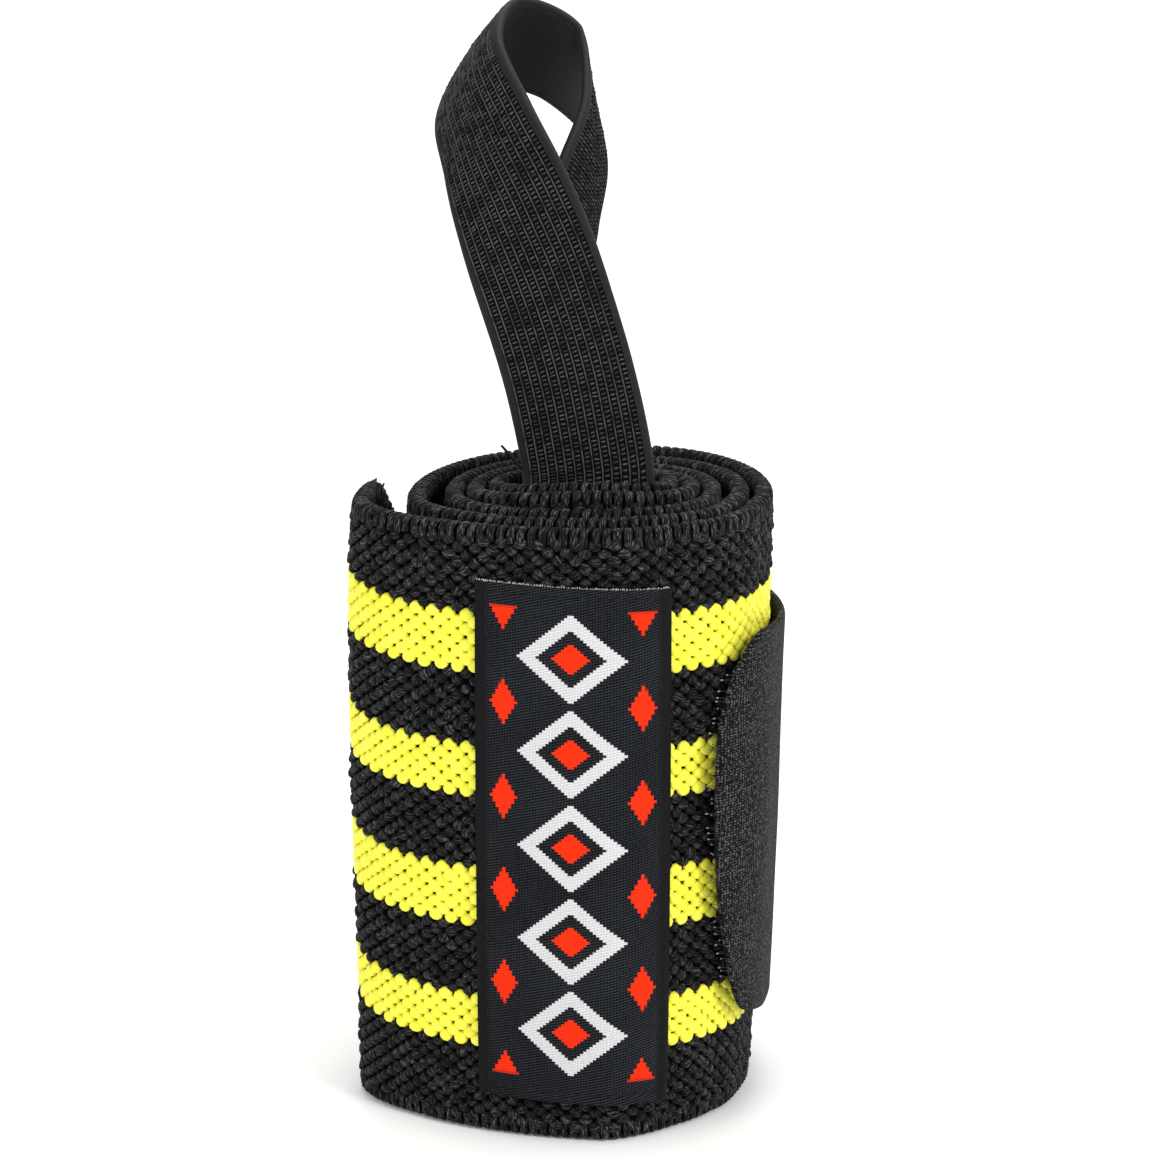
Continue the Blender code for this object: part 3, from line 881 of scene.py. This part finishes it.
def add_selvedge(name, material, top):
    """Ribs of yarn that wrap over one edge of the band, along every turn."""
    arms = np.array([(-1.0, 1.0), (-1.0, 0.55), (-0.96, 0.2), (-0.6, 0.02), (0, -0.06),
                     (0.6, 0.02), (0.96, 0.2), (1.0, 0.55), (1.0, 1.0)])
    girth = np.radians((0, 50, 90, 130, 180))
    lengths = np.arange(0.0006, roll.full - 0.0006, RIB_PITCH)
    lengths = lengths + chance.normal(0, 0.00005, len(lengths))
    deep = SELVEDGE * (1 + chance.normal(0, 0.05, len(lengths)))
    thick = BAND_THICKNESS / 2 * (1 + chance.normal(0, 0.02, len(lengths)))
    slant = 0.00018
    bulge = 0.00030
    half = RIB_PITCH * 0.40
    points = []
    out, down = arms[:, :1], arms[:, 1:]
    for number, length in enumerate(lengths):
        across = out * (thick[number] - bulge + bulge * np.sin(girth))
        inset = down * deep[number] + bulge * (1 - np.sin(girth)) * (down < 0.5)
        beside = length + half * np.cos(girth) + slant * out
        cut = corner_cut(length)
        height = BAND_WIDTH - cut - inset - 0.0001 if top else cut + inset + 0.0002
        points.append(roll.place(beside, height, across).reshape(-1, 3))
    size = len(arms) * len(girth)
    back = np.arange(len(arms)) * len(girth)
    front = back + len(girth) - 1
    wall = np.stack((back[1:], front[1:], front[:-1], back[:-1]), -1)
    ends = [list(range(len(girth))), list(range(size - 1, size - len(girth) - 1, -1))]
    shape = grid_faces(len(arms), len(girth)).tolist() + wall.tolist() + ends
    if not top:
        shape = [face[::-1] for face in shape]
    count = len(lengths)
    faces = [[corner + number * size for corner in face] for number in range(count) for face in shape]
    steps = np.diff(arms, axis=0) * (BAND_THICKNESS / 2, SELVEDGE)
    run = np.concatenate(([0], np.cumsum(np.hypot(*steps.T))))
    mesh_piece(name, np.concatenate(points), faces, material,
               measures={"shade": np.repeat(chance.uniform(0.1, 1, count), size),
                         "depth": np.tile(np.sin(girth) ** 0.5, len(arms) * count),
                         "run": np.tile(np.repeat(run, len(girth)), count),
                         "beside": np.tile(np.cos(girth) * half, len(arms) * count),
                         "seed": np.repeat(chance.uniform(0, 1, count), size)})


def loop_rows():
    """Rows of the thumb loop in metres: its middle, the way across it and its cup."""
    leg = (SEAM_GAP + LOOP_THICKNESS) / 2
    front = CORE_BACKWARD - leg
    back = CORE_BACKWARD + leg
    heights = [BAND_WIDTH - share * LOOP_ROOT for share in LOOP_ROOT_ROWS]
    rows = [(CORE_SIDEWAYS, front, height, 1, 0, 0, LOOP_CUP) for height in reversed(heights)]
    for side, backward, rise, *across, cup in LOOP:
        rows.append((CORE_SIDEWAYS + side * LOOP_SWAY, front + backward * LOOP_DEPTH,
                     BAND_WIDTH + rise * LOOP_RISE, *across, cup * LOOP_CUP))
    rows += [(CORE_SIDEWAYS, back, height, -1, 0, 0, LOOP_CUP) for height in heights]
    return np.array(rows)


def smooth_row(rows, at):
    """A row between two rows, on a smooth curve through all of them."""
    number = min(int(at), len(rows) - 2)
    share = at - number
    before, start, end, after = (rows[min(max(number + step, 0), len(rows) - 1)]
                                 for step in (-1, 0, 1, 2))
    return 0.5 * (2 * start + (end - before) * share
                  + (2 * before - 5 * start + 4 * end - after) * share ** 2
                  + (3 * start - before - 3 * end + after) * share ** 3)


class Ribbon:
    """The thumb loop's ribbon, which places things by length, place across and distance."""

    def __init__(self):
        rows = loop_rows()
        reach = len(rows) - 1
        fine = np.linspace(0, reach, ROW_SAMPLES * reach)
        samples = np.array([smooth_row(rows, at) for at in fine])
        heading = unit(np.gradient(samples[:, :3], axis=0))
        across = unit(samples[:, 3:6] - heading * (samples[:, 3:6] * heading).sum(1)[:, None])
        steps = np.linalg.norm(np.diff(samples[:, :3], axis=0), axis=1)
        self.length = np.concatenate(([0], np.cumsum(steps)))
        self.full = self.length[-1]
        self.samples = np.column_stack((samples[:, :3], across, np.cross(across, heading),
                                        samples[:, 6]))

    def place(self, length, across, outside):
        """Points at a length, with across from -1 to 1 over the ribbon's width."""
        length, across, outside = matched(length, across, outside)
        row = rows_at(length, self.length, self.samples)
        radius = LOOP_WIDTH / 2 / row[..., 9]
        angle = row[..., 9] * across
        span = (radius + outside) * np.sin(angle)
        depth = (radius + outside) * np.cos(angle) - radius
        return row[..., :3] + row[..., 3:6] * span[..., None] + row[..., 6:9] * depth[..., None]


ribbon = Ribbon()


def webbing_columns():
    """Places across the webbing's outer face, with the height of the surface at each and how light it
    is painted there.
    """
    pitch = (LOOP_WIDTH - 2 * LOOP_SELVEDGE) / LOOP_COLUMNS
    places = [0.0, 0.00022, 0.0006, 0.0010]
    heights = [-0.00035, -0.00006, 0.00006, 0.00002]
    # painted highlight on the raised ridges and the rounded edges, painted shade in the gaps
    light_marks = [0.85, 0.45, 0.20, 0.12]
    for column in range(LOOP_COLUMNS):
        start = LOOP_SELVEDGE + column * pitch
        places += [start + share * pitch for share in (0, 0.06, 0.13, 0.20, 0.95)]
        heights += [-0.00006, 0.00010, 0.00010, -0.00012, -0.00014]
        light_marks += [0.10, 0.80, 0.80, 0.0, 0.0]
    places += [LOOP_WIDTH - place for place in (0.0012, 0.0010, 0.0006, 0.00022, 0.0)]
    heights += [0.00008, 0.00002, 0.00006, -0.00006, -0.00035]
    light_marks += [0.40, 0.12, 0.20, 0.45, 0.85]
    return np.array(places), np.array(heights), np.array(light_marks), pitch


def is_far(length):
    """True on the loop's far side, where its bars run on from edge to edge."""
    return length > ribbon.length[ROW_SAMPLES * FAR_ROW]


def add_webbing(material, edges):
    places, heights, light_marks, pitch = webbing_columns()
    across = places / LOOP_WIDTH * 2 - 1
    lengths = np.linspace(0, ribbon.full, 420)
    half = LOOP_THICKNESS / 2 - 0.00008
    outer = ribbon.place(lengths[:, None], across, half + heights)
    plain = np.where(np.abs(across) > 0.9, np.minimum(heights, 0), -0.00008)
    inner = ribbon.place(lengths[:, None], across, -half - plain)
    points, faces = closed_strip(outer, inner)
    # painted light: on the far side the ridges are painted dim, and the inner face is painted lighter
    # at its edges
    ridged = np.where(is_far(lengths)[:, None] & (np.abs(across) < 0.85), 0.12, 1) * light_marks
    plain_light_marks = np.where(np.abs(across) > 0.9, 0.20, 0.04)
    relief_light = np.concatenate((ridged.ravel(), np.tile(plain_light_marks, len(lengths))))
    piece = mesh_piece("loop_webbing", points, [face[::-1] for face in faces.tolist()],
                       material, measures={"relief_light": relief_light})
    piece.data.materials.append(edges)
    columns = len(places)
    quads = (len(lengths) - 1) * (columns - 1)
    step = np.arange(len(piece.data.polygons)) % (columns - 1)
    selvedge = (step < 4) | (step >= columns - 5)
    smooth = (np.arange(len(step)) >= quads) | selvedge
    piece.data.polygons.foreach_set("material_index", smooth.astype(int))
    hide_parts("thumb_loop")

    rows = np.arange(0.010, ribbon.full - 0.010, RUNG_PITCH)
    bar_place = 0.60
    middles = LOOP_SELVEDGE + (np.arange(LOOP_COLUMNS) + bar_place) * pitch
    length, middle = every_pair(rows, middles)
    column = np.round((middle - LOOP_SELVEDGE) / pitch - bar_place)
    count = len(length)
    far = is_far(length)
    staggered = RUNG_PITCH * np.modf(column * 0.37)[0]
    length = length + np.where(far, 0, staggered) + chance.normal(0, 0.00004, count)
    rise = 0.00030 * (1 + chance.normal(0, 0.15, count))
    slant = np.where(far, 0, chance.normal(0.10, 0.10, count))
    wide = pitch * np.where(far, 0.56, chance.uniform(0.33, 0.40, count))

    def place(points, numbers):
        sideways = points[:, 0] * wide[numbers]
        upward = points[:, 1] * RUNG_PITCH * 0.24 + sideways * slant[numbers]
        return ribbon.place(length[numbers] + upward, (middle[numbers] + sideways) / LOOP_WIDTH * 2 - 1,
                            half - 0.00016 + points[:, 2] * rise[numbers])

    points, faces, _, numbers = repeated(dome(6, ((1.0, 0.0), (0.80, 0.75))), place, count)
    # painted highlight on each bar
    relief_light = chance.uniform(0.35, 0.85, count)[numbers]
    mesh_piece("loop_rungs", points, faces, material, measures={"relief_light": relief_light})


def add_tab(tape, hook):
    """The hook tab: its tape, and the hooks on its inner face towards its free end."""
    share = 1 - (1 - np.linspace(0, 1, 150)) ** 1.5
    lengths = tab.lengths[0] + share * (tab.lengths[-1] - tab.lengths[0])
    foot, top = tab.limits(lengths)
    rows = np.concatenate(([0, 0.006, 0.014], np.linspace(0.03, 0.97, 22), [0.986, 0.994, 1]))
    heights = foot[:, None] + rows * (top - foot)[:, None]
    from_end = np.clip((lengths[-1] - lengths) / 0.0008, 0, 1)[:, None]
    half = TAB_THICKNESS / 2 * (1 - 0.5 * np.maximum(near_edge(rows), (1 - from_end) ** 2))
    ripple = 0.00012 * np.sin(lengths * 420)[:, None] * np.sin(heights * 210) * from_end
    outer = tab.place(lengths[:, None], heights, ripple + half)
    inner = tab.place(lengths[:, None], heights, ripple - half)
    points, faces = closed_strip(outer, inner)
    piece = mesh_piece("tab_tape", points, faces, tape,
                       strip_measures(lengths[:, None], heights))
    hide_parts("hook_tab")

    pairs = np.arange(TAB_FOOT + 0.0030, TAB_FOOT + TAB_WIDTH - 0.0045, 0.00175)
    rows = np.concatenate([pairs + chance.normal(0, 0.00012, len(pairs)) + apart
                           for apart in (0, 0.00062)])
    inward = np.concatenate(([-0.00012], np.arange(0.0009, 0.0085, 0.0013)))
    height, behind = every_pair(rows, inward)
    height = height + chance.normal(0, 0.00010, len(height)) + np.where(behind < 0, 0, 0.0002)
    end = tab.lengths[-1]
    fine = np.linspace(end - 0.012, end, 200)
    low, high = tab.limits(fine)
    edge = np.array([fine[(low < at) & (high > at)][-1] for at in height])
    start = edge - behind - 0.00045 + chance.normal(0, 0.00010, len(height))
    reach = np.where(behind < 0, chance.uniform(0.0002, 0.0011, len(height)), 0.0002)
    tall = chance.uniform(0.0007, 0.0011, len(height))

    stem = 0.00008

    def place(points, numbers):
        rise = points[:, 2]
        bend = reach[numbers] * rise ** 1.5
        return tab.place(start[numbers] + bend + points[:, 0] * stem,
                         height[numbers] + points[:, 1] * stem,
                         -TAB_THICKNESS / 2 + 0.0001 - rise * tall[numbers])

    rings = ((1.0, 0.0), (0.5, 0.30), (0.45, 0.72), (1.7, 0.90))
    points, faces, local, _ = repeated(dome(6, rings), place, len(height))
    mesh_piece("tab_hooks", points, [face[::-1] for face in faces], hook,
               measures={"depth": local[:, 2]})


def add_tube(name, points, radius, material):
    """A short thread through a few points, with a little wander."""
    points = np.asarray(points, float)
    at = np.linspace(0, len(points) - 1, 8 * len(points))
    line = np.array([smooth_row(points, share) for share in at])
    heading = unit(np.gradient(line, axis=0))
    side = unit(np.cross(heading, (0.3, 1.0, 0.2)))
    other = np.cross(heading, side)
    turns = np.arange(7) * 2 * math.pi / 7
    taper = radius * (0.55 + 0.45 * np.sin(np.linspace(0.5, math.pi - 0.3, len(line))))
    rings = line[:, None] + taper[:, None, None] * (side[:, None] * np.cos(turns)[:, None]
                                                    + other[:, None] * np.sin(turns)[:, None])
    rows = len(line)
    number = np.arange(rows * 7).reshape(rows, 7)
    after = np.roll(number, -1, axis=1)
    faces = np.stack((number[:-1], after[:-1], after[1:], number[1:]), -1).reshape(-1, 4).tolist()
    faces += [number[0][::-1].tolist(), number[-1].tolist()]
    mesh_piece(name, rings.reshape(-1, 3), faces, material)


def add_tail_edge(material):
    """Cut yarn ends that stand out along the band's outer end."""
    count = 260
    height = chance.uniform(0.0006, BAND_WIDTH - 0.0006, count)
    fine = np.linspace(roll.full - CORNER_RUN, roll.full, 300)
    inset = np.minimum(height, BAND_WIDTH - height)
    end = np.interp(np.minimum(inset, CORNER_RISE), corner_cut(fine), fine)
    side = chance.uniform(-0.0008, 0.0008, count)
    long = chance.uniform(0.0003, 0.00075, count)
    lean = chance.normal(0, 0.00015, count)
    thick = chance.uniform(0.00018, 0.00036, count)
    aslant = np.sign(height - BAND_WIDTH / 2) * np.clip(1 - inset / CORNER_RISE, 0, 1)

    def place(points, numbers):
        tip = points[:, 2]
        return roll.place(end[numbers] - 0.0003 + tip * long[numbers],
                          height[numbers] + points[:, 0] * thick[numbers] + tip * lean[numbers]
                          + tip * aslant[numbers] * long[numbers] * 0.7,
                          side[numbers] + points[:, 1] * thick[numbers])

    points, faces, _, numbers = repeated(dome(6, ((1.0, 0.0), (0.9, 0.5), (0.6, 0.9))), place, count)
    shade = chance.uniform(0, 1, count)[numbers]
    mesh_piece("tail_yarn_ends", points, faces, material,
               measures={"shade": shade, "depth": np.ones(len(points)), "seed": shade})


def add_loose_thread(material):
    """The stray end of yarn beside the thumb loop's root."""
    root = ribbon.place(LOOP_ROOT + 0.0044, -0.97, 0)
    points = [root + share * np.array((-0.0030, -0.0006, 0.0037)) for share in (0, 0.33, 0.67, 1)]
    add_tube("loose_thread", points, 0.00022, material)


def add_label(satin, thread, fringe):
    """The woven label with its stitches and the cut threads along its upper edge."""
    middle = label_middle()
    pitch = 0.0021
    inset = 0.0013
    sideways = np.linspace(-1, 1, 41) * LABEL_WIDTH / 2
    heights = LABEL_FOOT + np.linspace(0, 1, 111) * LABEL_HEIGHT
    seat = BAND_THICKNESS / 2 + SEAM_GAP
    x, z = np.meshgrid(sideways, heights, indexing="ij")
    to_seam = np.minimum(np.abs(np.abs(x) - LABEL_WIDTH / 2 + inset),
                         np.minimum(np.abs(z - LABEL_FOOT - inset), np.abs(z - LABEL_TOP + inset)))
    pull = 0.00014 * np.exp(-(to_seam / 0.0006) ** 2)
    wave = 0.00008 * np.sin(z * 310 + x * 90) * np.sin(x * 260)
    outside = seat + LABEL_THICKNESS - pull + wave
    outer = roll.place(middle + x, z + LABEL_SKEW * x, outside)
    inner = roll.place(middle + x, z + LABEL_SKEW * x, outside - LABEL_THICKNESS * 0.8)
    points, faces = closed_strip(outer, inner)
    piece = mesh_piece("label_cloth", points, faces, satin, strip_measures(x, z))
    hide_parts("label")

    side = LABEL_WIDTH / 2 - inset
    up = np.arange(LABEL_FOOT + inset, LABEL_TOP - inset, pitch) + pitch / 2
    over = np.arange(-side, side, pitch) + pitch / 2
    seams = [(sign * side, at, 0) for sign in (-1, 1) for at in up]
    seams += [(at, high, 1) for at in over for high in (LABEL_FOOT + inset, LABEL_TOP - inset)]
    seams = np.array(seams)

    def place(points, numbers):
        run = points[:, 0] * pitch * 0.44
        girth = points[:, 1] * 0.00014
        at, high, flat = seams[numbers].T
        return roll.place(middle + at + np.where(flat, run, -girth),
                          high + np.where(flat, girth, run) + LABEL_SKEW * at,
                          seat + LABEL_THICKNESS - 0.00024 + points[:, 2] * 0.00022)

    points, faces, _, _ = repeated(dome(8, ((1.0, 0.0), (0.86, 0.6), (0.5, 0.93))), place, len(seams))
    mesh_piece("label_seam", points, faces, thread)

    count = 120
    at = np.linspace(-0.49, 0.49, count) * LABEL_WIDTH + chance.normal(0, 0.00003, count)
    long = chance.uniform(0.00016, 0.00040, count)
    slant = chance.normal(0, 0.00006, count)

    def place_fringe(points, numbers):
        tip = (points[:, 0] + 1) / 2
        return roll.place(middle + at[numbers] + slant[numbers] * tip + points[:, 1] * 0.00006,
                          LABEL_TOP - 0.00012 + long[numbers] * tip + LABEL_SKEW * at[numbers],
                          seat + LABEL_THICKNESS * 0.60 + points[:, 2] * 0.00012)

    points, faces, _, _ = repeated(dome(6, ((1.0, 0.0), (0.8, 0.8))), place_fringe, count)
    mesh_piece("label_fringe", points, faces, fringe)


def add_floor():
    finish = Finish("studio_floor", roughness=0.9, specular=0.2)
    cloud = finish.noise(3, 2, 0.5)
    finish.colour(finish.blend(cloud, (0.93, 0.93, 0.93), (0.95, 0.95, 0.95)))
    mesh = bpy.data.meshes.new("studio_floor")
    size = 3.0
    mesh.from_pydata([(-size, -size, 0), (size, -size, 0), (size, size, 0), (-size, size, 0)], [],
                     [(0, 1, 2, 3)])
    mesh.materials.append(finish.material)
    floor = linked("studio_floor", mesh)


def add_light(name, place, size, power, aim=(0, 0, 0.06)):
    lamp = bpy.data.lights.new(name, "AREA")
    lamp.shape = "DISK"
    lamp.size = size
    lamp.energy = power
    light = linked(name, lamp)
    light.location = place
    direction = np.array(aim) - np.array(place)
    yaw = math.atan2(direction[1], direction[0]) - math.pi / 2
    pitch = math.atan2(direction[2], math.hypot(direction[0], direction[1]))
    light.rotation_euler = Euler((math.pi / 2 + pitch, 0, yaw))


def add_studio():
    world = bpy.data.worlds.new("studio")
    world.use_nodes = True
    world.node_tree.nodes["Background"].inputs[0].default_value = (1, 1, 1, 1)
    world.node_tree.nodes["Background"].inputs[1].default_value = 0.70
    bpy.context.scene.world = world
    add_light("key", (0.62, -0.60, 0.62), 0.30, 5.5)
    add_light("fill", (-0.60, -0.70, 0.50), 0.6, 2.5)
    add_light("top", (0.0, 0.10, 0.95), 0.5, 3.5)
    add_light("backdrop", (0.0, 1.35, 1.2), 0.9, 9.0, (0.0, 1.3, 0.0))
    bpy.context.scene.view_settings.view_transform = "Standard"


add_camera()
add_studio()
add_floor()
black = knit_black()
add_ground(ground_cloth())
add_knit(black, knit_yellow())
add_selvedge("ribs_top", black, True)
add_selvedge("ribs_foot", black, False)
add_webbing(webbing(), loop_edges())
black_thread = plain_thread("black_thread", (0.026, 0.026, 0.028))
add_tab(hook_tape(), hook_nylon())
add_tail_edge(black_thread)
add_loose_thread(plain_thread("stray_yarn", (0.005, 0.005, 0.0055)))
add_label(label_satin(), plain_thread("seam_thread", (0.010, 0.010, 0.011)),
          plain_thread("white_thread", (0.66, 0.66, 0.64)))
